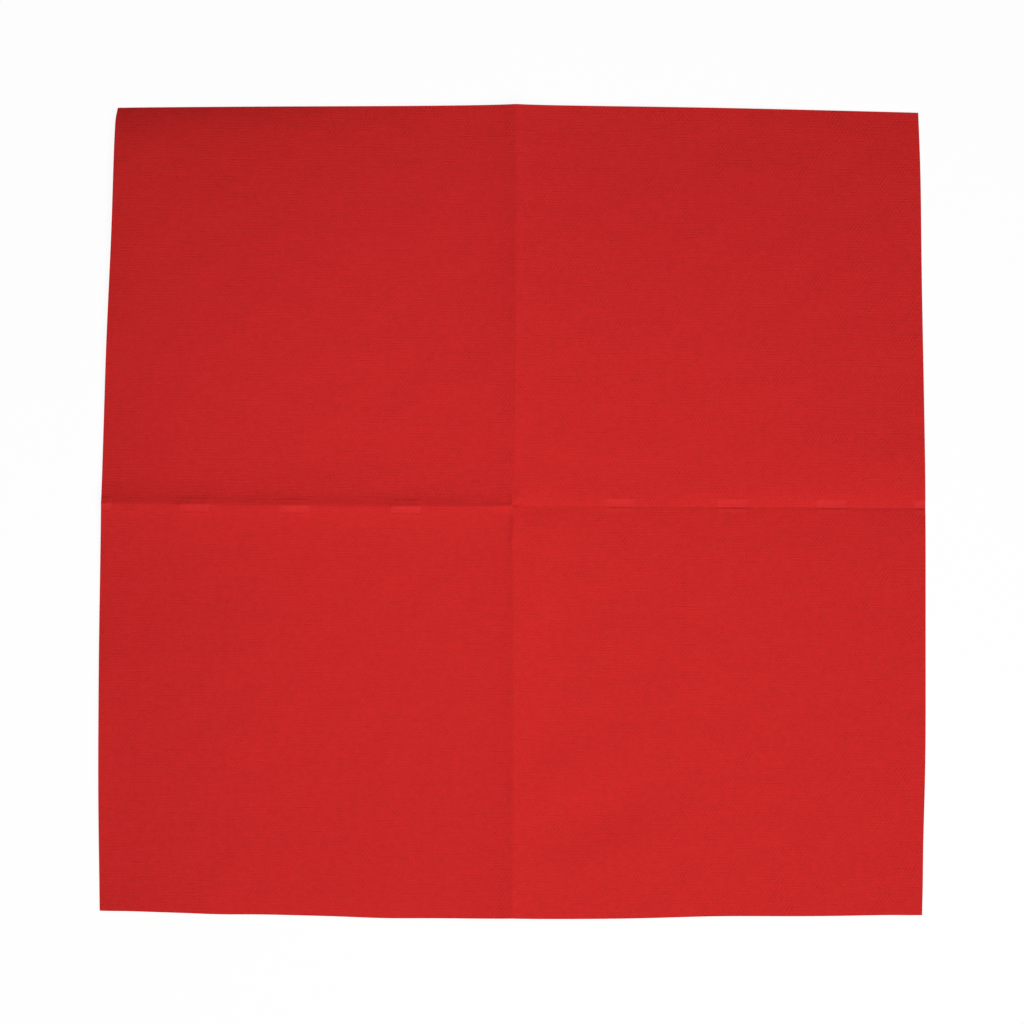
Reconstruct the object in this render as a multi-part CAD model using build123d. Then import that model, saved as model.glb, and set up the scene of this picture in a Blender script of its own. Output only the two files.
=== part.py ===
from build123d import *
import os

# Paper cocktail napkin: one square sheet that was folded in half and in half again, and
# then opened out on a table. The first fold runs north to south and the second west to
# east, so three of the four creases stand up as ridges and the east one is a valley.
# The origin is on the table under the place where the creases cross.
# +X is east, +Y is north and +Z is up. Lengths are in millimetres.

# Sheet: its side is measured across the middle, and its corners are drawn in by the bows
sheet_side = 250.0
sheet_thickness = 0.3
west_edge_bow = 2.0
east_edge_bow = 1.5
south_edge_bow = 2.0
north_edge_bow = 1.7

# Creases: heights of the underside above the lowest place, and of the valley's two banks,
# and depth of the trough on the north side of the west ridge
crossing_height = 2.3
north_ridge_height = 2.3
south_ridge_height = 2.2
west_ridge_height = 2.0
east_valley_height = 0.1
north_bank_height = 1.5
south_bank_height = 0.7
west_trough_depth = 0.6

# Panels: how far each one swells between its creases and its cut edges, and how far the
# north edge of the north-west panel lifts before it droops to the table at its corner
north_west_swell = 3.8
north_east_swell = 2.2
south_west_swell = 2.0
south_east_swell = 1.6
north_west_lift = 7.0

# Press marks: short strips along both sides of the second fold, where the folded stack was
# rolled thin to hold its layers together, clear of the bend of the fold itself
mark_length = 9.6
mark_reach = 2.1
mark_clearance = 0.4
pressed_thickness = 0.14
mark_centre_shares = (0.261, 0.533, 0.772, 1.01)

# How far a cutting block reaches past what it cuts
cut_overrun = 1.0

# Control net of a panel, counted from the creases to the cut edges, the same both ways:
# where its rows lie, how a ridge falls away, how far the crossing still lifts a crease,
# how banks and trough stand beside a crease and grow along it, how the panel swells, and
# how the lifted edge grows towards its corner and droops to the table
row_shares = (0, 0.02, 0.06, 0.14, 0.42, 0.85, 1)
flank_shares = (1, 0.76, 0.28, -0.12, -0.06, 0, 0)
meeting_shares = (1, 0.7, 0.25, 0.05, 0, 0, 0)
bank_shares = (0, 0.35, 0.95, 1, 0.3, 0, 0)
bank_growth_shares = (0, 0.4, 0.7, 0.85, 0.9, 0.95, 1)
swell_shares = (0, 0, 0, 0.2, 0.9, 1, 0)
lift_growth_shares = (0, 0, 0, 0, 0.1, 0.6, 1)
droop_shares = (0, 0, 0, 0, 0, 1, 0)

half_side = sheet_side / 2
rows = range(len(row_shares))
WEST, EAST, SOUTH, NORTH = -1, 1, -1, 1
edge_bow_x = {WEST: west_edge_bow, EAST: east_edge_bow}
edge_bow_y = {SOUTH: south_edge_bow, NORTH: north_edge_bow}
crease_height_x = {WEST: west_ridge_height, EAST: east_valley_height}
crease_height_y = {SOUTH: south_ridge_height, NORTH: north_ridge_height}
bank_height = {
    (EAST, NORTH): north_bank_height,
    (EAST, SOUTH): south_bank_height,
    (WEST, NORTH): -west_trough_depth,
}
swell_height = {
    (WEST, NORTH): north_west_swell,
    (EAST, NORTH): north_east_swell,
    (WEST, SOUTH): south_west_swell,
    (EAST, SOUTH): south_east_swell,
}
lift_height = {(WEST, NORTH): north_west_lift}


def crease_line(height):
    """Heights of a crease's control points, from the crossing out to the cut edge."""
    return [height + (crossing_height - height) * share for share in meeting_shares]


def underside_net(side_x, side_y):
    """Control points of one panel's underside, indexed by row from each crease."""
    crease_x = crease_line(crease_height_x[side_x])
    crease_y = crease_line(crease_height_y[side_y])
    bank = bank_height.get((side_x, side_y), 0)
    swell = swell_height[side_x, side_y]
    lift = lift_height.get((side_x, side_y), 0)

    def control_point(i, j):
        width = half_side - edge_bow_x[side_x] * row_shares[j] ** 2
        length = half_side - edge_bow_y[side_y] * row_shares[i] ** 2
        height = (
            crease_y[j] * flank_shares[i]
            + crease_x[i] * flank_shares[j]
            - crossing_height * flank_shares[i] * flank_shares[j]
            + bank * bank_growth_shares[i] * bank_shares[j]
            + swell * swell_shares[i] * swell_shares[j]
            + lift * lift_growth_shares[i] * droop_shares[j]
        )
        return Vector(side_x * width * row_shares[i], side_y * length * row_shares[j], height)

    return [[control_point(i, j) for j in rows] for i in rows]


def raised(points, rise):
    """The same control points, higher up."""
    return [point + Vector(0, 0, rise) for point in points]


def panel_faces(side_x, side_y, thickness):
    """Underside, upper face and the two cut edges of one quarter of a sheet of this thickness."""
    press = (sheet_thickness - thickness) / 2
    under = [raised(row, press) for row in underside_net(side_x, side_y)]
    upper = [raised(row, thickness) for row in under]
    side_row = under[-1]
    end_row = [row[-1] for row in under]
    faces = [Face.make_bezier_surface(net) for net in (under, upper)]
    faces += [Face.make_bezier_surface([row, raised(row, thickness)]) for row in (side_row, end_row)]
    return faces


def creased_sheet(thickness):
    """The whole sheet as it was folded, pressed from both faces to this thickness."""
    faces = []
    for side_x in (WEST, EAST):
        for side_y in (SOUTH, NORTH):
            faces += panel_faces(side_x, side_y, thickness)
    return Solid(Shell(faces))


def mark_blocks(sheet):
    """Upright blocks over the press marks, in pairs along the second fold."""
    box = sheet.bounding_box()
    block = Box(
        mark_length,
        mark_reach - mark_clearance,
        box.size.Z + 2 * cut_overrun,
        align=(Align.CENTER, Align.CENTER, Align.MIN),
    )
    across = (mark_reach + mark_clearance) / 2
    return [
        Pos(side_x * half_side * share, side_y * across, box.min.Z - cut_overrun) * block
        for side_x in (WEST, EAST)
        for side_y in (SOUTH, NORTH)
        for share in mark_centre_shares
    ]


def marked_sheet():
    """The creased sheet with the paper inside each press mark rolled thin."""
    sheet = creased_sheet(sheet_thickness)
    pressed_sheet = creased_sheet(pressed_thickness)
    blocks = mark_blocks(sheet)
    return (sheet - blocks) + [pressed_sheet & block for block in blocks]


def laid_on_table(sheet):
    """The sheet set down so that its lowest place touches the table."""
    return Pos(0, 0, -sheet.bounding_box().min.Z) * sheet


napkin_sheet = laid_on_table(marked_sheet())

os.makedirs("parts", exist_ok=True)
export_step(napkin_sheet, "parts/napkin_sheet.step")
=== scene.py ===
"""Paper cocktail napkin: one red embossed sheet, opened out of its quarter fold on a pale table.

Lengths are in metres in the part's own frame: +X is east, +Y is north and +Z is up, and the
origin is on the table under the place where the two folds cross.
"""

import logging
import math
from dataclasses import dataclass, field
from enum import Enum
from typing import Any, Sequence

import bmesh
import bpy
from mathutils import Matrix, Vector


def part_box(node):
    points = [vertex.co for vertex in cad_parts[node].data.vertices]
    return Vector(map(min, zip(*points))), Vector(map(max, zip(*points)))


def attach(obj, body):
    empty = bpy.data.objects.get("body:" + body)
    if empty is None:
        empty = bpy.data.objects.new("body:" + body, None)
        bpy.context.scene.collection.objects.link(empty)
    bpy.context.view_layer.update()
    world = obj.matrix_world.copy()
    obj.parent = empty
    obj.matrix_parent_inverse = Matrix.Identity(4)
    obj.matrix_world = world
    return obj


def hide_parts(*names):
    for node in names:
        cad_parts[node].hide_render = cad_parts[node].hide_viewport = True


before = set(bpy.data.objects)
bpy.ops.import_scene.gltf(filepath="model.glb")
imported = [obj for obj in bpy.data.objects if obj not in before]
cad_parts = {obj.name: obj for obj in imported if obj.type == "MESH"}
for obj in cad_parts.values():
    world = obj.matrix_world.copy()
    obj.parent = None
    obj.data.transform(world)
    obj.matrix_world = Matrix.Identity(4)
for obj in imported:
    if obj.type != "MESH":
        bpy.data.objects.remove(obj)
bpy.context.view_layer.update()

MM = 0.001
NODE = "napkin_sheet"
FLAT_MAP = "flat"
PRESS = "press"
LIP = "lip"
MIDDLE = 0.5
IMAGE_PIXELS = 1024

log = logging.getLogger("napkin")


class Heading(Enum):
    """A way out from the crossing of the folds, as an axis and its sign."""

    WEST = ("x", -1)
    EAST = ("x", 1)
    SOUTH = ("y", -1)
    NORTH = ("y", 1)

    @property
    def sign(self) -> int:
        """The sign of the axis on this side."""
        return self.value[1]


@dataclass(frozen=True)
class ShareCurve:
    """A Bezier curve over a table of shares, from a crease at 0 to a cut edge at 1."""

    shares: tuple[float, ...]

    def at(self, t: float) -> float:
        """Reads the curve.

        Args:
            t: how far along the curve, from 0 to 1.

        Returns:
            The share there.
        """
        degree = len(self.shares) - 1
        weights = (math.comb(degree, k) * t**k * (1 - t) ** (degree - k) for k in range(degree + 1))
        return sum(weight * share for weight, share in zip(weights, self.shares))

    def where(self, share: float, halvings: int = 40) -> float:
        """Finds where a rising curve reaches a share.

        Args:
            share: the share to look for.
            halvings: how many times the span is halved.

        Returns:
            How far along the curve it is, from 0 to 1.
        """
        low, high = 0.0, 1.0
        for _ in range(halvings):
            middle = (low + high) / 2
            if self.at(middle) < share:
                low = middle
            else:
                high = middle
        return (low + high) / 2


ROWS = ShareCurve((0, 0.02, 0.06, 0.14, 0.42, 0.85, 1))
SQUARED_ROWS = ShareCurve(tuple(share**2 for share in ROWS.shares))
FLANK = ShareCurve((1, 0.76, 0.28, -0.12, -0.06, 0, 0))
MEETING = ShareCurve((1, 0.7, 0.25, 0.05, 0, 0, 0))
BANK = ShareCurve((0, 0.35, 0.95, 1, 0.3, 0, 0))
BANK_GROWTH = ShareCurve((0, 0.4, 0.7, 0.85, 0.9, 0.95, 1))
SWELL = ShareCurve((0, 0, 0, 0.2, 0.9, 1, 0))
LIFT_GROWTH = ShareCurve((0, 0, 0, 0, 0.1, 0.6, 1))
DROOP = ShareCurve((0, 0, 0, 0, 0, 1, 0))


@dataclass(frozen=True)
class GridLine:
    """One line of the sheet's grid, with what each share curve comes to on it."""

    heading: Heading
    row: float
    squared_row: float
    bank: float
    flank: float
    meeting: float
    growth: float
    swell: float
    lift_growth: float
    droop: float

    @classmethod
    def at(cls, heading: Heading, t: float, crest_share: float) -> "GridLine":
        """Reads every share curve at one place, with the ridges' crests rounded a little.

        Args:
            heading: the side of the crossing that the line is on.
            t: how far along the curves it is.
            crest_share: the crests' radius as a share of half the sheet.

        Returns:
            The grid line.
        """
        sharp = (curve.at(t) for curve in (ROWS, SQUARED_ROWS, BANK))
        soft_t = ROWS.where(math.hypot(ROWS.at(t), crest_share * (1 - t)))
        soft_curves = (FLANK, MEETING, BANK_GROWTH, SWELL, LIFT_GROWTH, DROOP)
        return cls(heading, *sharp, *(curve.at(soft_t) for curve in soft_curves))


def smooth_step(low: float, high: float, value: float) -> float:
    """The share of a smooth rise from 0 at low to 1 at high that a value has reached."""
    share = min(max((value - low) / (high - low), 0.0), 1.0)
    return share * share * (3 - 2 * share)


@dataclass(frozen=True)
class FoldLine:
    """The sharp line along a crease: how far it stands up or sinks, and how it fades."""

    rise: float
    width: float
    fade: float = math.inf
    start: float = 0.6 * MM
    radius: float = 0.2 * MM

    def at(self, along: float, across: float) -> float:
        """How far the line lifts the paper at a place.

        Args:
            along: how far the place is from the crossing, along the crease.
            across: how far it is from the crease.

        Returns:
            The rise there.
        """
        rounded = math.hypot(across, self.radius) - self.radius
        faded = math.exp(-rounded / self.width - along / self.fade)
        return self.rise * faded * smooth_step(0.0, self.start, along)


@dataclass(frozen=True)
class Sharpening:
    """How the press marks sharpen a crease: its rise on the fold, and its reach to each side."""

    rise: float
    north: float
    south: float

    def at(self, across: float) -> float:
        """How far a mark lifts the paper at a distance north of the fold."""
        reach = self.north if across > 0 else self.south
        return self.rise * max(1 - abs(across) / reach, 0.0)


@dataclass(frozen=True)
class Crease:
    """One arm of the folds: its height, the bow of its cut edge, and its lines and sharpening."""

    height: float
    bow: float
    lines: tuple[FoldLine, ...]
    sharpening: Sharpening = Sharpening(rise=0.0, north=MM, south=MM)


@dataclass(frozen=True)
class Panel:
    """One quarter of the sheet: its swell, bank and lift, and how far its marks and lips go."""

    swell: float
    bank: float = 0.0
    lift: float = 0.0
    mark_share: float = 1.0
    lip_share: float = 1.0


@dataclass(frozen=True)
class Bell:
    """A soft bulge of a cut edge or a crease, at a place along it."""

    place: float
    reach: float
    out: float

    @classmethod
    def in_mm(cls, *lengths: float) -> "Bell":
        """Makes a bell from its place, its reach and how far it stands out, in millimetres."""
        return cls(*(MM * length for length in lengths))

    def at(self, place: float) -> float:
        """How far the line stands out at a place along it."""
        return self.out * math.exp(-(((place - self.place) / self.reach) ** 2))


@dataclass(frozen=True)
class Buckle:
    """One soft bump or dip of the paper, with a flank towards its heading and one behind."""

    heading: Heading
    x: float
    y: float
    height: float
    reach: float
    back_reach: float
    spread: float

    @classmethod
    def in_mm(cls, heading: Heading, *lengths: float) -> "Buckle":
        """Makes a buckle from its place, height, two reaches and spread, in millimetres."""
        return cls(heading, *(MM * length for length in lengths))

    def at(self, x: float, y: float) -> float:
        """How far the paper rises or dips at a place.

        Args:
            x: the place's easting.
            y: the place's northing.

        Returns:
            The rise there.
        """
        axis, sign = self.heading.value
        across, along = x - self.x, y - self.y
        if axis == "y":
            across, along = along, across
        reach = self.reach if sign * across > 0 else self.back_reach
        return self.height * math.exp(-((across / reach) ** 2) - (along / self.spread) ** 2)


@dataclass(frozen=True)
class Ripple:
    """A few soft waves of the paper under a bell."""

    x: float
    y: float
    height: float
    reach: float
    spread: float
    turn_deg: float
    wave: float

    def at(self, x: float, y: float) -> float:
        """How far the paper rises or dips at a place.

        Args:
            x: the place's easting.
            y: the place's northing.

        Returns:
            The rise there.
        """
        turn = math.radians(self.turn_deg)
        across = (x - self.x) * math.cos(turn) + (y - self.y) * math.sin(turn)
        along = (y - self.y) * math.cos(turn) - (x - self.x) * math.sin(turn)
        bell = math.exp(-((across / self.reach) ** 2) - (along / self.spread) ** 2)
        return self.height * bell * math.cos(math.tau * across / self.wave)


@dataclass(frozen=True)
class Strip:
    """The two borders of a row of press marks, as distances north of the second fold."""

    south: float
    north: float

    @property
    def middle(self) -> float:
        """How far the row's middle line is north of the fold."""
        return (self.north + self.south) / 2

    @property
    def reach(self) -> float:
        """How far the row reaches from its middle line."""
        return (self.north - self.south) / 2


@dataclass(frozen=True)
class PressMarks:
    """Short strips along both sides of the second fold, where the folded stack was rolled thin."""

    centres: tuple[float, ...]
    length: float = 9.6 * MM
    west: Strip = Strip(south=-2.45 * MM, north=1.35 * MM)
    east: Strip = Strip(south=-2.1 * MM, north=2.1 * MM)
    clearance: float = 0.4 * MM
    press: float = 0.08 * MM
    ramp: float = 0.3 * MM
    fade: float = 0.8 * MM
    lip_height: float = 0.04 * MM
    lip_width: float = 0.3 * MM

    def ends(self) -> list[float]:
        """Distances from the first fold where a mark starts and stops fading in."""
        half = self.length / 2
        offsets = (-half, self.fade - half, half - self.fade, half)
        return [centre + offset for centre in self.centres for offset in offsets]

    def along(self, x: float) -> float:
        """How much of a mark there is at an easting.

        Args:
            x: the easting.

        Returns:
            1 inside a mark, 0 outside it.
        """
        half = self.length / 2
        nearest = min(abs(abs(x) - centre) for centre in self.centres)
        return 1 - smooth_step(half - self.fade, half, nearest)

    def depth(self, x: float, y: float) -> float:
        """How far each face is pressed in.

        Args:
            x: the place's easting.
            y: the place's northing.

        Returns:
            The depth there.
        """
        strip = self.east if x > 0 else self.west
        inside = smooth_step(self.clearance, self.clearance + self.ramp, abs(y))
        inside *= smooth_step(0.0, self.ramp, strip.reach - abs(y - strip.middle))
        return self.press * inside * self.along(x) if inside else 0.0

    def lip(self, x: float, y: float) -> float:
        """How far the paper stands up beside a mark.

        Args:
            x: the place's easting.
            y: the place's northing.

        Returns:
            The rise of the upper face there.
        """
        strip = self.east if x > 0 else self.west
        beside = (abs(y - strip.middle) - strip.reach - self.lip_width) / self.lip_width
        return self.lip_height * math.exp(-(beside**2)) * self.along(x)


class Value:
    """A shader socket that takes part in sums, each of which adds a Math node."""

    def __init__(self, shader: "Shader", socket: bpy.types.NodeSocket) -> None:
        """Wraps a socket of a shader's tree."""
        self.shader = shader
        self.socket = socket

    def math(self, operation: str, *others: "Value | float") -> "Value":
        """Adds one Math node on this value and others, and gives its result."""
        inputs = dict(enumerate((self, *others)))
        return self.shader.node("ShaderNodeMath", {"operation": operation}, inputs).value()

    def __add__(self, other: "Value | float") -> "Value":
        """Sum."""
        return self.math("ADD", other)

    __radd__ = __add__

    def __sub__(self, other: "Value | float") -> "Value":
        """Difference."""
        return self.math("SUBTRACT", other)

    def __rsub__(self, other: float) -> "Value":
        """Difference from a number."""
        return (self * -1.0) + other

    def __mul__(self, other: "Value | float") -> "Value":
        """Product."""
        return self.math("MULTIPLY", other)

    __rmul__ = __mul__

    def __abs__(self) -> "Value":
        """Size without sign."""
        return self.math("ABSOLUTE")

    def cos(self) -> "Value":
        """Cosine of an angle in radians."""
        return self.math("COSINE")

    def largest(self, other: "Value | float") -> "Value":
        """The larger of two values."""
        return self.math("MAXIMUM", other)

    def smallest(self, other: "Value | float") -> "Value":
        """The smaller of two values."""
        return self.math("MINIMUM", other)

    def step(self, low: float, high: float) -> "Value":
        """Rises smoothly from 0 at low to 1 at high.

        Args:
            low: where the rise starts.
            high: where the rise ends.

        Returns:
            The share of the rise.
        """
        settings = {"interpolation_type": "SMOOTHSTEP"}
        inputs = {"Value": self, "From Min": low, "From Max": high}
        return self.shader.node("ShaderNodeMapRange", settings, inputs).value("Result")


class Made:
    """A node of a shader, with its results as values."""

    def __init__(self, shader: "Shader", node: bpy.types.Node) -> None:
        """Wraps a node."""
        self.shader = shader
        self.node = node

    def value(self, output: str | int = 0) -> Value:
        """One of the node's results."""
        return Value(self.shader, self.node.outputs[output])


class Shader:
    """A node tree of a material or of the world, which nodes are added to one call at a time."""

    # Numbers of a colour mix's sockets, because their names repeat
    MIX_FACTOR, MIX_FIRST, MIX_SECOND = 0, 6, 7
    MIX_RESULT = 2

    def __init__(self, tree: bpy.types.NodeTree) -> None:
        """Starts from an empty tree."""
        self.tree = tree
        self.tree.nodes.clear()

    def node(self, kind: str, settings: dict[str, Any], inputs: dict[str | int, Any]) -> Made:
        """Adds one node.

        Args:
            kind: the node's type.
            settings: the node's own settings, which are set first.
            inputs: the values or links of its sockets.

        Returns:
            The new node.
        """
        made = self.tree.nodes.new(kind)
        for name, setting in settings.items():
            setattr(made, name, setting)
        for name, given in inputs.items():
            if isinstance(given, Value):
                self.tree.links.new(given.socket, made.inputs[name])
            else:
                made.inputs[name].default_value = given
        return Made(self, made)

    def mix_colour(self, factor: Value, first: Any, second: Any) -> Value:
        """Mixes two colours.

        Args:
            factor: how much of the second there is.
            first: a colour or a link to one.
            second: a colour or a link to one.

        Returns:
            The mixed colour.
        """
        settings = {"data_type": "RGBA"}
        inputs = {self.MIX_FACTOR: factor, self.MIX_FIRST: first, self.MIX_SECOND: second}
        return self.node("ShaderNodeMix", settings, inputs).value(self.MIX_RESULT)

    def mix_shaders(self, factor: Value, first: Value, second: Value) -> Value:
        """Mixes two shaders, with the factor as the share of the second."""
        inputs = dict(enumerate((factor, first, second)))
        return self.node("ShaderNodeMixShader", {}, inputs).value()

    def stretched(self, place: Value, scale: tuple[float, float, float]) -> Value:
        """Scales a place along each axis, so that a pattern on it comes out longer one way."""
        return self.node("ShaderNodeMapping", {}, {"Vector": place, "Scale": scale}).value()

    def noise(
        self, place: Value, size: float, detail: float = 0.0, roughness: float = 0.0
    ) -> Value:
        """Even noise over a flat place.

        Args:
            place: the place.
            size: length of its largest grains.
            detail: how many finer layers it has.
            roughness: how strong each finer layer is.

        Returns:
            The noise, about 0.
        """
        settings = {"noise_dimensions": "2D"}
        inputs = {"Vector": place, "Scale": 1 / size, "Detail": detail, "Roughness": roughness}
        return self.node("ShaderNodeTexNoise", settings, inputs).value(0) - MIDDLE


@dataclass(frozen=True)
class EmbossedTissue:
    """Red tissue with a fine dot emboss, which the press marks have rolled flat."""

    # Colour
    colour: tuple[float, float, float] = (0.5605, 0.0165, 0.0163)
    tone_range: float = 0.20
    fibre_tone: float = 0.9
    mottle_tone: float = 0.6
    mottle_size: float = 2.2 * MM
    mottle_detail: float = 3.0
    mottle_roughness: float = 0.75
    # Gloss
    roughness: float = 0.86
    specular: float = 0.12
    # Inside the press marks
    # Paler base colour inside the press marks, a painted sheen of the rolled-smooth paper
    mark_painted_sheen: float = 0.06
    mark_gloss: float = 0.06
    gloss_roughness: float = 0.45
    mark_flattening: float = 0.85
    # Dot emboss and its rows and streaks
    dot_pitch: float = 1.16 * MM
    dot_row: float = 0.905 * MM
    dot_height: float = 0.055 * MM
    right_share: float = 0.25
    right_growth: float = 0.8
    left_share: float = 0.18
    faintest_share: float = 0.15
    patching: float = 5.0
    patch_size: float = 6.0 * MM
    patch_detail: float = 2.0
    dot_wander: float = 0.45 * MM
    wander_size: float = 2.5 * MM
    wander_detail: float = 1.0
    row_share: float = 0.18
    streak_share: float = 1.5
    streak_size: float = 1.3 * MM
    streak_detail: float = 1.0
    streak_stretch: tuple[float, float, float] = (0.16, 1.0, 1.0)
    # Cockle, grain and fibres
    cockle_height: float = 0.26 * MM
    cockle_size: float = 11.0 * MM
    grain_height: float = 0.15 * MM
    grain_size: float = 12.0 * MM
    grain_detail: float = 5.0
    grain_roughness: float = 0.7
    fibre_size: float = 0.38 * MM
    fibre_detail: float = 1.0

    def material(self, side: float, marks: PressMarks) -> bpy.types.Material:
        """Makes the paper's material.

        Args:
            side: the flat sheet's side, which the flat map spans.
            marks: the press marks, which lie flat, shine a little and are painted paler as a
                painted sheen.

        Returns:
            The material.
        """
        material = bpy.data.materials.new("red_tissue")
        material.use_nodes = True
        shader = Shader(material.node_tree)
        flat = shader.node("ShaderNodeUVMap", {"uv_map": FLAT_MAP}, {}).value()
        middle = (-side / 2, -side / 2, 0.0)
        place = shader.node(
            "ShaderNodeMapping", {}, {"Vector": flat, "Location": middle, "Scale": (side,) * 3}
        ).value()

        pressed = self.pressed(shader, place, marks)
        fibre = shader.noise(place, self.fibre_size, self.fibre_detail, self.grain_roughness)
        mottle = shader.noise(place, self.mottle_size, self.mottle_detail, self.mottle_roughness)
        # The paper's own fibre and mottle tones, with the press marks painted paler as a painted
        # sheen
        tone_and_painted_sheen = (
            fibre * self.fibre_tone
            + mottle * self.mottle_tone
            + pressed * self.mark_painted_sheen
            + MIDDLE
        )
        grain = shader.noise(place, self.grain_size, self.grain_detail, self.grain_roughness)
        emboss = self.emboss(shader, place) * (1 - self.mark_flattening * pressed)
        cockle = shader.noise(place, self.cockle_size)
        soft = grain * self.grain_height + cockle * self.cockle_height
        relief = emboss * self.dot_height + soft
        bump = shader.node(
            "ShaderNodeBump", {}, {"Strength": 1.0, "Distance": 1.0, "Height": relief}
        ).value()

        deep = tuple((1 - self.tone_range) * part for part in self.colour) + (1.0,)
        pale = tuple((1 + self.tone_range) * part for part in self.colour) + (1.0,)
        surface = shader.node(
            "ShaderNodeBsdfPrincipled",
            {},
            {
                "Base Color": shader.mix_colour(tone_and_painted_sheen, deep, pale),
                "Roughness": self.roughness,
                "Specular IOR Level": self.specular,
                "Coat Weight": pressed * self.mark_gloss,
                "Coat Roughness": self.gloss_roughness,
                "Normal": bump,
            },
        ).value()
        shader.node("ShaderNodeOutputMaterial", {}, {"Surface": surface})
        return material

    def emboss(self, shader: Shader, place: Value) -> Value:
        """Raised dots in staggered rows, which lean to the right, in patches and streaks.

        Args:
            shader: the tree that it is made in.
            place: place on the flat sheet.

        Returns:
            The paper's rise, as a share of a dot's height.
        """
        wander = shader.node(
            "ShaderNodeTexNoise",
            {"noise_dimensions": "2D"},
            {"Vector": place, "Scale": 1 / self.wander_size, "Detail": self.wander_detail},
        ).value("Color")
        bent = shader.node(
            "ShaderNodeVectorMath",
            {"operation": "MULTIPLY_ADD"},
            {0: wander, 1: (self.dot_wander,) * 3, 2: place},
        ).value()
        parts = shader.node("ShaderNodeSeparateXYZ", {}, {"Vector": bent})
        x, y = parts.value("X"), parts.value("Y")
        across, along = x * (math.tau / self.dot_pitch), y * (math.pi / self.dot_row)
        right = (across - along).cos() * (x * self.right_growth + self.right_share)
        left = (across + along).cos() * self.left_share
        rows = (y * (math.tau / self.dot_row)).cos()
        patches = shader.noise(place, self.patch_size, self.patch_detail, self.grain_roughness)
        strength = (patches * self.patching + 1.0).largest(self.faintest_share)
        long_place = shader.stretched(place, self.streak_stretch)
        streaks = shader.noise(
            long_place, self.streak_size, self.streak_detail, self.grain_roughness
        )
        return (right + left) * strength + rows * (streaks * self.streak_share + self.row_share)

    def pressed(self, shader: Shader, place: Value, marks: PressMarks) -> Value:
        """Where the press marks lie.

        Args:
            shader: the tree that it is made in.
            place: place on the flat sheet.
            marks: the marks' sizes and places.

        Returns:
            1 inside a mark and 0 outside.
        """
        parts = shader.node("ShaderNodeSeparateXYZ", {}, {"Vector": place})
        from_first = abs(parts.value("X"))
        west, east = marks.west, marks.east
        eastern = parts.value("X").step(-marks.fade, marks.fade)
        middle = eastern * (east.middle - west.middle) + west.middle
        reach = eastern * (east.reach - west.reach) + west.reach
        half = marks.length / 2
        nearest = abs(from_first - marks.centres[0])
        for centre in marks.centres[1:]:
            nearest = nearest.smallest(abs(from_first - centre))
        along = 1 - nearest.step(half - marks.fade, half)
        return along * (reach - abs(parts.value("Y") - middle)).step(0.0, marks.ramp)


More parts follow.
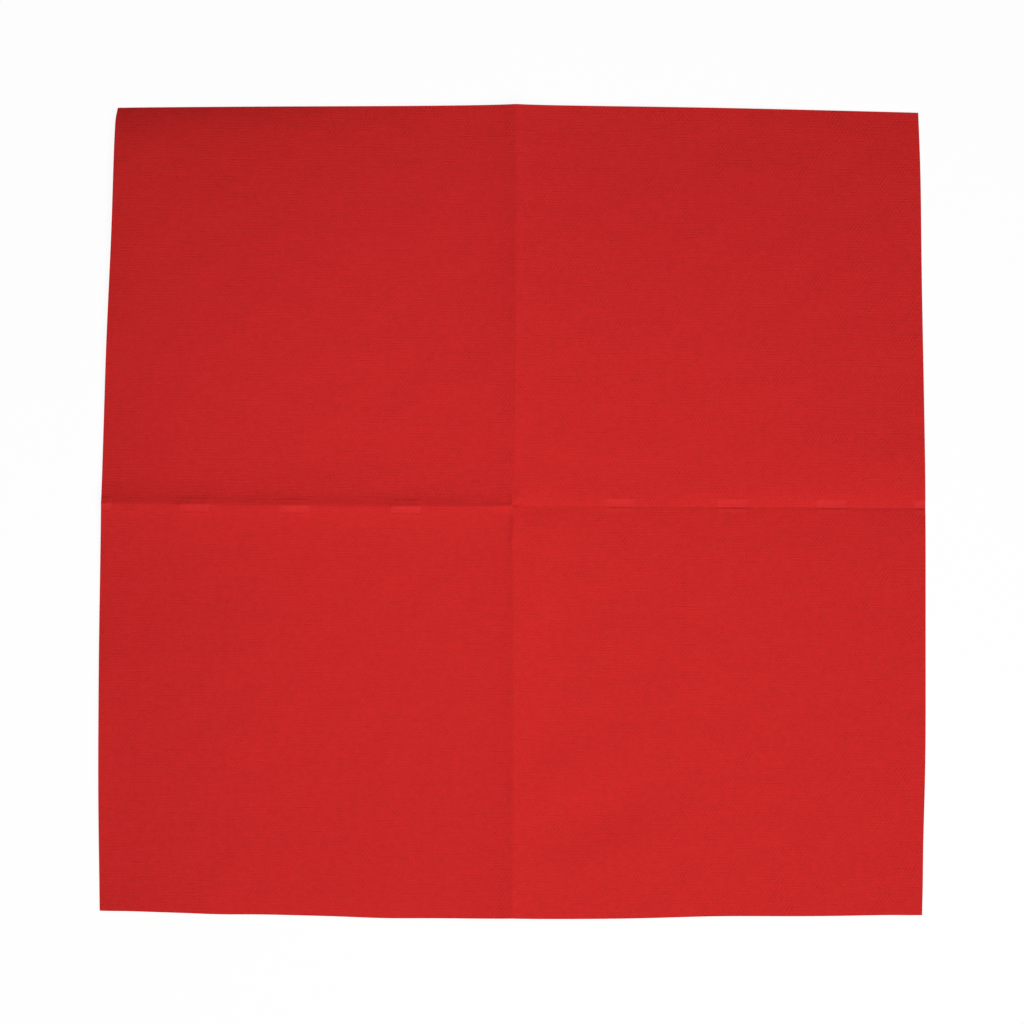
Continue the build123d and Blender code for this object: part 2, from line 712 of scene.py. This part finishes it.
@dataclass
class NapkinSheet:
    """The sheet of paper as it lies: four panels between the creases and the cut edges."""

    low: Vector
    high: Vector
    thickness: float = 0.3 * MM
    crossing: float = 2.3 * MM
    crest_radius: float = 0.7 * MM
    halfway_steps: int = 96
    line_gap_share: float = 0.3
    mark_centre_shares: tuple[float, ...] = (0.261, 0.533, 0.772, 1.01)
    finish: EmbossedTissue = field(default_factory=EmbossedTissue)
    creases: dict[Heading, Crease] = field(
        default_factory=lambda: {
            Heading.WEST: Crease(
                height=2.0 * MM,
                bow=2.0 * MM,
                lines=(
                    FoldLine(rise=0.3 * MM, width=0.9 * MM, fade=9 * MM),
                    FoldLine(rise=0.25 * MM, width=1.8 * MM, fade=9 * MM),
                ),
                sharpening=Sharpening(rise=0.28 * MM, north=2.3 * MM, south=3.2 * MM),
            ),
            Heading.EAST: Crease(
                height=0.1 * MM,
                bow=1.5 * MM,
                lines=(),
                sharpening=Sharpening(rise=-0.18 * MM, north=2.6 * MM, south=0.5 * MM),
            ),
            Heading.SOUTH: Crease(
                height=2.2 * MM,
                bow=2.0 * MM,
                lines=(
                    FoldLine(rise=0.15 * MM, width=0.7 * MM, fade=10 * MM, start=1.5 * MM),
                    FoldLine(rise=0.06 * MM, width=0.8 * MM),
                ),
            ),
            Heading.NORTH: Crease(
                height=2.3 * MM,
                bow=1.7 * MM,
                lines=(FoldLine(rise=0.04 * MM, width=0.8 * MM),),
            ),
        }
    )
    panels: dict[tuple[Heading, Heading], Panel] = field(
        default_factory=lambda: {
            (Heading.WEST, Heading.NORTH): Panel(
                swell=3.8 * MM, bank=-0.6 * MM, lift=7.0 * MM, mark_share=0.3, lip_share=1.6
            ),
            (Heading.EAST, Heading.NORTH): Panel(swell=2.2 * MM, bank=1.5 * MM, lip_share=1.5),
            (Heading.WEST, Heading.SOUTH): Panel(swell=2.0 * MM, lip_share=2.2),
            (Heading.EAST, Heading.SOUTH): Panel(
                swell=1.6 * MM, bank=0.7 * MM, mark_share=0.25, lip_share=0.0
            ),
        }
    )
    edge_wander: dict[Heading, tuple[Bell, ...]] = field(
        default_factory=lambda: {
            Heading.WEST: (
                Bell.in_mm(124, 3, -0.5),
                Bell.in_mm(85, 25, -0.35),
                Bell.in_mm(-45, 30, 0.3),
                Bell.in_mm(-88, 30, 0.4),
            ),
            Heading.EAST: (
                Bell.in_mm(105, 25, 0.35),
                Bell.in_mm(-75, 30, 0.2),
                Bell.in_mm(-105, 20, -0.35),
                Bell.in_mm(-124, 8, -0.25),
            ),
            Heading.SOUTH: (
                Bell.in_mm(-20, 150, 0.52),
                Bell.in_mm(-124, 8, 0.35),
                Bell.in_mm(-105, 18, 0.3),
                Bell.in_mm(-87, 9, 0.25),
                Bell.in_mm(-38, 12, 0.3),
                Bell.in_mm(63, 20, -0.45),
                Bell.in_mm(124, 8, 0.3),
            ),
            Heading.NORTH: (Bell.in_mm(-35, 60, -0.42),),
        }
    )
    wander_depth: int = 4
    buckles: tuple[Buckle, ...] = (
        # Beside the first fold
        Buckle.in_mm(Heading.EAST, 6, -30, 0.85, 5.5, 5.5, 26),
        Buckle.in_mm(Heading.EAST, 7, -30, -0.5, 30, 4.5, 26),
        Buckle.in_mm(Heading.EAST, -9, -36, 0.28, 6.5, 30, 24),
        Buckle.in_mm(Heading.EAST, -9, 32, 0.3, 6.5, 30, 22),
        # Beside the second fold
        Buckle.in_mm(Heading.NORTH, -45, 4, -0.15, 12, 2.5, 55),
        Buckle.in_mm(Heading.NORTH, 85, 4.5, 0.15, 16, 3.5, 30),
        Buckle.in_mm(Heading.NORTH, 110, 0, -0.08, 2.2, 0.45, 60),
        Buckle.in_mm(Heading.NORTH, 30, 12, -0.5, 40, 10, 40),
        # At the crossing
        Buckle.in_mm(Heading.NORTH, 8, -0.5, -0.15, 1.9, 1.9, 5),
        Buckle.in_mm(Heading.NORTH, 7, -2.5, -0.35, 4, 8, 7),
        Buckle.in_mm(Heading.NORTH, 1.2, 1.95, 0.2, 3, 0.85, 0.9),
        Buckle.in_mm(Heading.WEST, -0.3, -6, 0.25, 0.8, 5, 8),
        # Inside the panels
        Buckle.in_mm(Heading.NORTH, -95, 36, 0.9, 36, 60, 40),
        Buckle.in_mm(Heading.NORTH, -100, -48, 0.45, 13, 40, 35),
        Buckle.in_mm(Heading.NORTH, -81, -72, 0.18, 5, 5, 7),
        Buckle.in_mm(Heading.NORTH, -85, 100, -0.6, 20, 35, 35),
        Buckle.in_mm(Heading.SOUTH, 53, -50, 0.25, 14, 30, 9),
        # Along the north edge
        Buckle.in_mm(Heading.NORTH, -60, 130, 0.55, 12, 12, 45),
        Buckle.in_mm(Heading.NORTH, 60, 130, 0.6, 12, 12, 38),
        Buckle.in_mm(Heading.NORTH, -117, 110, 0.4, 9, 20, 10),
        Buckle.in_mm(Heading.NORTH, 122, 104, 0.4, 12, 30, 10),
        # Along the south edge
        Buckle.in_mm(Heading.SOUTH, -26, -116, 0.55, 10, 35, 24),
        Buckle.in_mm(Heading.SOUTH, -42, -122, 0.3, 8, 20, 12),
        Buckle.in_mm(Heading.SOUTH, 50, -116, 0.25, 10, 35, 10),
        Buckle.in_mm(Heading.SOUTH, -108, -128, 0.9, 12, 12, 24),
        Buckle.in_mm(Heading.SOUTH, 122, -122, 0.35, 14, 14, 14),
        # Along the west edge
        Buckle.in_mm(Heading.WEST, -127, 46, 0.4, 6, 6, 9),
        Buckle.in_mm(Heading.WEST, -127, -74, 0.7, 6, 6, 30),
        # Along the east edge
        Buckle.in_mm(Heading.EAST, 118, 14, 0.4, 6, 20, 8),
    )
    ripple: Ripple = Ripple(
        x=25 * MM,
        y=-94 * MM,
        height=-0.42 * MM,
        reach=20 * MM,
        spread=17 * MM,
        turn_deg=110.0,
        wave=30 * MM,
    )
    crease_wander: dict[Heading, tuple[Bell, ...]] = field(
        default_factory=lambda: {
            Heading.WEST: (Bell.in_mm(-55, 90, -0.75),),
            Heading.EAST: (Bell.in_mm(30, 30, -0.12),),
            Heading.SOUTH: (
                Bell.in_mm(-4, 5, 0.5),
                Bell.in_mm(-12, 4, -0.2),
                Bell.in_mm(-100, 55, 0.5),
            ),
            Heading.NORTH: (Bell.in_mm(65, 50, 0.2),),
        }
    )
    wander_start: float = 1.2 * MM
    crease_reach: float = 6 * MM

    def __post_init__(self) -> None:
        """Takes the sheet's side from the frame and places the press marks along it."""
        self.half_side = (self.high.x - self.low.x) / 2
        self.marks = PressMarks(tuple(share * self.half_side for share in self.mark_centre_shares))

    def grid_lines(self, minus: Heading, plus: Heading, stops: Sequence[float]) -> list[GridLine]:
        """Lays out the grid's lines across the sheet, with some at given places.

        Args:
            minus: the heading at the low end.
            plus: the heading at the high end.
            stops: distances from the crossing that get a line of their own on both sides.

        Returns:
            The lines from the low end to the high end.
        """
        steps = [k / self.halfway_steps for k in range(self.halfway_steps + 1)]
        wanted = [ROWS.where(stop / self.half_side) for stop in stops if stop < self.half_side]
        apart = self.line_gap_share / self.halfway_steps
        kept = [t for t in steps if t in (0.0, 1.0) or all(abs(t - w) > apart for w in wanted)]
        half = sorted(kept + wanted)
        crest_share = self.crest_radius / self.half_side
        low_half = [GridLine.at(minus, t, crest_share) for t in reversed(half[1:])]
        return low_half + [GridLine.at(plus, t, crest_share) for t in half]

    def flat_place(self, column: GridLine, line: GridLine) -> Vector:
        """Finds a place on the sheet in plan, with its creases and cut edges still even.

        Args:
            column: the grid line that runs north and south through it.
            line: the grid line that runs west and east through it.

        Returns:
            The place, at no height.
        """
        across, along = self.creases[column.heading], self.creases[line.heading]
        x = column.row * (self.half_side - across.bow * line.squared_row)
        y = line.row * (self.half_side - along.bow * column.squared_row)
        return Vector((column.heading.sign * x, line.heading.sign * y, 0.0))

    def wander(self, column: GridLine, line: GridLine, place: Vector) -> Vector:
        """Finds how far the creases and the cut edges stray from their even lines at a place.

        Args:
            column: the grid line that runs north and south through it.
            line: the grid line that runs west and east through it.
            place: the place in plan.

        Returns:
            The way from the even place to the real one.
        """
        x_out = sum(bell.at(place.y) for bell in self.edge_wander[column.heading])
        y_out = sum(bell.at(place.x) for bell in self.edge_wander[line.heading])
        x_out *= column.heading.sign * column.row**self.wander_depth
        y_out *= line.heading.sign * line.row**self.wander_depth
        x_aside = sum(bell.at(place.y) for bell in self.crease_wander[line.heading])
        y_aside = sum(bell.at(place.x) for bell in self.crease_wander[column.heading])
        x_aside *= self.beside(place.x, place.y)
        y_aside *= self.beside(place.y, place.x)
        return Vector((x_out + x_aside, y_out + y_aside, 0.0))

    def beside(self, across: float, along: float) -> float:
        """How much of a crease's wander a place has, down to 0 far off and at the crossing."""
        near = math.exp(-((across / self.crease_reach) ** 2))
        return near * smooth_step(0.0, self.wander_start, abs(along))

    def height(self, column: GridLine, line: GridLine, place: Vector) -> float:
        """Finds the height of the sheet's underside, before the press marks.

        Args:
            column: the grid line that runs north and south through the place.
            line: the grid line that runs west and east through it.
            place: the place in plan.

        Returns:
            The height there.
        """
        across, along = self.creases[column.heading], self.creases[line.heading]
        panel = self.panels[column.heading, line.heading]
        crease_x = across.height + (self.crossing - across.height) * column.meeting
        crease_y = along.height + (self.crossing - along.height) * line.meeting
        z = crease_y * column.flank + crease_x * line.flank
        z -= self.crossing * column.flank * line.flank
        z += panel.bank * column.growth * line.bank
        z += panel.swell * column.swell * line.swell
        z += panel.lift * column.lift_growth * line.droop
        z += sum(fold_line.at(abs(place.x), abs(place.y)) for fold_line in across.lines)
        z += sum(fold_line.at(abs(place.y), abs(place.x)) for fold_line in along.lines)
        z += across.sharpening.at(place.y) * self.marks.along(place.x)
        return z + sum(form.at(place.x, place.y) for form in (*self.buckles, self.ripple))

    def build(self) -> bpy.types.Object:
        """Models the sheet.

        Returns:
            The sheet's object.
        """
        columns = self.grid_lines(Heading.WEST, Heading.EAST, self.marks.ends())
        lines = self.grid_lines(Heading.SOUTH, Heading.NORTH, ())
        sheet = bmesh.new()
        flat = sheet.verts.layers.float_vector.new(FLAT_MAP)
        press = sheet.verts.layers.float.new(PRESS)
        lip = sheet.verts.layers.float.new(LIP)
        last_column, last_line = len(columns) - 1, len(lines) - 1
        bmesh.ops.create_grid(sheet, x_segments=last_column, y_segments=last_line, size=MIDDLE)
        for vert in sheet.verts:
            column = columns[round((vert.co.x + MIDDLE) * last_column)]
            line = lines[round((vert.co.y + MIDDLE) * last_line)]
            panel = self.panels[column.heading, line.heading]
            place = self.flat_place(column, line)
            vert[flat] = place
            vert[press] = panel.mark_share * self.marks.depth(place.x, place.y)
            vert[lip] = panel.lip_share * self.marks.lip(place.x, place.y)
            vert.co = place + self.wander(column, line, place)
            vert.co.z = self.height(column, line, place)
        lowest = min(vert.co.z for vert in sheet.verts)
        bmesh.ops.translate(sheet, verts=sheet.verts[:], vec=(0, 0, -lowest))
        self.thicken(sheet)
        self.map_flat(sheet)
        mesh = bpy.data.meshes.new("napkin")
        sheet.to_mesh(mesh)
        sheet.free()
        napkin = bpy.data.objects.new("napkin", mesh)
        bpy.context.scene.collection.objects.link(napkin)
        return napkin

    def thicken(self, sheet: bmesh.types.BMesh) -> None:
        """Gives the sheet its upper face and its cut edges, and presses the marks into both faces.

        Args:
            sheet: the sheet's underside.
        """
        press = sheet.verts.layers.float[PRESS]
        lip = sheet.verts.layers.float[LIP]
        under = sheet.verts[:]
        faces = sheet.faces[:]
        raised = bmesh.ops.extrude_face_region(sheet, geom=faces, use_keep_orig=True)["geom"]
        for vert in raised:
            if isinstance(vert, bmesh.types.BMVert):
                vert.co.z += self.thickness + vert[lip] - vert[press]
        for vert in under:
            vert.co.z += vert[press]
        bmesh.ops.recalc_face_normals(sheet, faces=sheet.faces[:])
        broad = set(faces)
        broad.update(item for item in raised if isinstance(item, bmesh.types.BMFace))
        for face in sheet.faces:
            face.smooth = face in broad
        for edge in sheet.edges:
            edge.smooth = edge.link_faces[0].smooth == edge.link_faces[1].smooth
        self.order_rim(sheet)

    def order_rim(self, sheet: bmesh.types.BMesh) -> None:
        """Puts the faces of the cut edges in a fixed order, so that each run gives the same mesh.

        Args:
            sheet: the whole sheet, whose smooth faces come first and stay in their order.
        """
        count = len(sheet.faces)
        sheet.faces.index_update()

        def rank(face: bmesh.types.BMFace) -> float:
            """Place of a face in the order, by its bearing where it is a cut edge."""
            middle = face.calc_center_median()
            return face.index if face.smooth else count + math.atan2(middle.y, middle.x)

        sheet.faces.sort(key=rank)

    def map_flat(self, sheet: bmesh.types.BMesh) -> None:
        """Lays the flat map over the sheet, with the whole map one side of the sheet wide.

        Args:
            sheet: the whole sheet.
        """
        flat = sheet.verts.layers.float_vector[FLAT_MAP]
        corners = sheet.loops.layers.uv.new(FLAT_MAP)
        side = 2 * self.half_side
        for face in sheet.faces:
            for loop in face.loops:
                place = loop.vert[flat]
                loop[corners].uv = (place.x / side + MIDDLE, place.y / side + MIDDLE)
        sheet.verts.layers.float_vector.remove(flat)
        depths = sheet.verts.layers.float
        for name in (PRESS, LIP):
            depths.remove(depths[name])

    def dress(self, napkin: bpy.types.Object) -> None:
        """Gives the sheet its paper and its place in the frame.

        Args:
            napkin: the sheet's object.
        """
        side = 2 * self.half_side
        napkin.data.materials.append(self.finish.material(side, self.marks))
        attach(napkin, "root")
        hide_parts(NODE)


@dataclass(frozen=True)
class Studio:
    """A plain pale table under soft light, and a camera almost overhead."""

    # Light
    ambient: float = 0.12
    top: float = 0.295
    top_height: float = 0.24
    top_size: float = 0.2
    key: float = 0.61
    key_distance: float = 1.5
    key_size: float = 0.8
    key_azimuth_deg: float = -64.0
    key_elevation_deg: float = 45.0
    # Table
    floor_side: float = 8.0
    floor_drop: float = 0.1 * MM
    floor_colour: float = 0.92
    white_share: float = 0.94
    # Camera
    aim: tuple[float, float, float] = (-0.45 * MM, -1.88 * MM, 0.0)
    camera_distance: float = 1.5
    camera_tilt_rad: float = 0.16363
    camera_roll_rad: float = 0.00642
    focal_pixels: float = 4941.98
    sensor_width: float = 36.0

    def build(self) -> None:
        """Sets out the table, the light and the camera."""
        self.floor()
        self.world()
        self.key_lamp()
        self.top_lamp()
        self.camera()

    def seen(self, shader: Shader) -> Value:
        """Which rays see the white background.

        Args:
            shader: the tree that asks.

        Returns:
            1 for rays from the camera, a gloss or a glass, and 0 for the rest.
        """
        path = shader.node("ShaderNodeLightPath", {}, {})
        seen = path.value("Is Camera Ray").largest(path.value("Is Glossy Ray"))
        return seen.largest(path.value("Is Transmission Ray"))

    def floor(self) -> None:
        """Lays a pale table under the sheet, which still takes its shadow."""
        table = bmesh.new()
        bmesh.ops.create_grid(table, x_segments=1, y_segments=1, size=self.floor_side / 2)
        bmesh.ops.translate(table, verts=table.verts[:], vec=(0, 0, -self.floor_drop))
        mesh = bpy.data.meshes.new("table")
        table.to_mesh(mesh)
        table.free()
        floor = bpy.data.objects.new("table", mesh)
        bpy.context.scene.collection.objects.link(floor)
        material = bpy.data.materials.new("pale_table")
        material.use_nodes = True
        shader = Shader(material.node_tree)
        pale = (self.floor_colour,) * 3 + (1.0,)
        matt = shader.node("ShaderNodeBsdfDiffuse", {}, {"Color": pale}).value()
        white = shader.node("ShaderNodeEmission", {}, {"Strength": 1.0}).value()
        factor = self.seen(shader) * self.white_share
        surface = shader.mix_shaders(factor, matt, white)
        shader.node("ShaderNodeOutputMaterial", {}, {"Surface": surface})
        mesh.materials.append(material)

    def world(self) -> None:
        """Fills the room with an even light that looks white to the camera."""
        world = bpy.data.worlds.new("room")
        world.use_nodes = True
        bpy.context.scene.world = world
        shader = Shader(world.node_tree)
        strength = self.seen(shader) * (1 - self.ambient) + self.ambient
        inputs = {"Color": (1.0, 1.0, 1.0, 1.0), "Strength": strength}
        light = shader.node("ShaderNodeBackground", {}, inputs).value()
        shader.node("ShaderNodeOutputWorld", {}, {"Surface": light})

    def key_lamp(self) -> None:
        """Hangs the key lamp, in the south-east."""
        elevation = math.radians(self.key_elevation_deg)
        azimuth = math.radians(self.key_azimuth_deg)
        level = math.cos(elevation)
        east, north = level * math.cos(azimuth), level * math.sin(azimuth)
        towards = Vector((east, north, math.sin(elevation)))
        self.lamp("key", towards * self.key_distance, self.key_size, self.key)

    def top_lamp(self) -> None:
        """Hangs a lamp close over the crossing, whose light falls off towards the corners."""
        self.lamp("top", Vector((0, 0, self.top_height)), self.top_size, self.top)

    def lamp(self, name: str, place: Vector, size: float, share: float) -> None:
        """Hangs a round lamp that faces the crossing, which the camera doesn't see.

        Args:
            name: the lamp's name.
            place: where it hangs.
            size: how wide it is.
            share: the share of plain light that it gives a level sheet at the crossing.
        """
        light = bpy.data.lights.new(name, "AREA")
        light.shape = "DISK"
        light.size = size
        near = place.length_squared + (size / 2) ** 2
        light.energy = share * math.pi**2 * near * place.length / place.z
        lamp = bpy.data.objects.new(name, light)
        lamp.location = place
        lamp.rotation_euler = place.to_track_quat("Z", "Y").to_euler()
        lamp.visible_camera = False
        bpy.context.scene.collection.objects.link(lamp)

    def camera(self) -> None:
        """Sets up the camera, a little south of overhead."""
        back = Vector((0, -math.sin(self.camera_tilt_rad), math.cos(self.camera_tilt_rad)))
        right = Vector((1, 0, 0))
        turn = Matrix((right, back.cross(right), back)).transposed().to_4x4()
        data = bpy.data.cameras.new("camera")
        data.sensor_width = self.sensor_width
        data.lens = self.focal_pixels / IMAGE_PIXELS * self.sensor_width
        camera = bpy.data.objects.new("camera", data)
        place = Matrix.Translation(Vector(self.aim) + back * self.camera_distance)
        camera.matrix_world = place @ turn @ Matrix.Rotation(self.camera_roll_rad, 4, "Z")
        bpy.context.scene.collection.objects.link(camera)
        bpy.context.scene.camera = camera


def main() -> None:
    """Builds the sheet and the room around it."""
    logging.basicConfig(level=logging.INFO)
    bpy.context.scene.view_settings.view_transform = "Standard"
    sheet = NapkinSheet(*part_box(NODE))
    napkin = sheet.build()
    sheet.dress(napkin)
    log.info("%s: %d faces", napkin.name, len(napkin.data.polygons))
    Studio().build()


if __name__ == "__main__":
    main()
